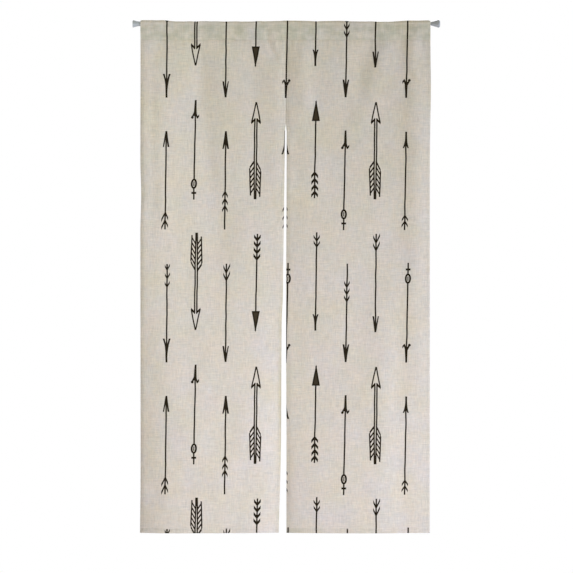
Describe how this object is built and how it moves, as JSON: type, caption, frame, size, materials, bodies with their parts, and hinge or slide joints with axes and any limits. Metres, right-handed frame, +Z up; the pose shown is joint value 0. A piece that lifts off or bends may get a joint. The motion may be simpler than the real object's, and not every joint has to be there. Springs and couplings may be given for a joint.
{
  "type": "noren curtain on a tension rod",
  "caption": "Split doorway curtain of two printed cloth panels, sewn together at the top and hung by a sewn pocket from a slim tension rod with trumpet-shaped end caps.",
  "frame": {"origin": "middle of the left end cap's flat face, on the rod's axis, where the rod presses on what holds it", "axes": "+X along the rod from the left cap to the right one, +Z up, and the curtain's printed front faces -Y"},
  "size_m": [0.9, 0.0285, 1.5025],
  "materials": {
    "printed_cloth": "matt plain weave of slubby linen-look yarn in warm greige, with dark brown printed arrows",
    "rod_tube": "smooth white enamel on thin steel tube",
    "end_cap": "light grey moulded plastic, satin"
  },
  "bodies": {
    "root": {"panel_left": "printed_cloth", "panel_right": "printed_cloth", "rod_outer_tube": "rod_tube", "rod_inner_tube": "rod_tube", "end_cap_left": "end_cap", "end_cap_right": "end_cap"}
  },
  "joints": []
}
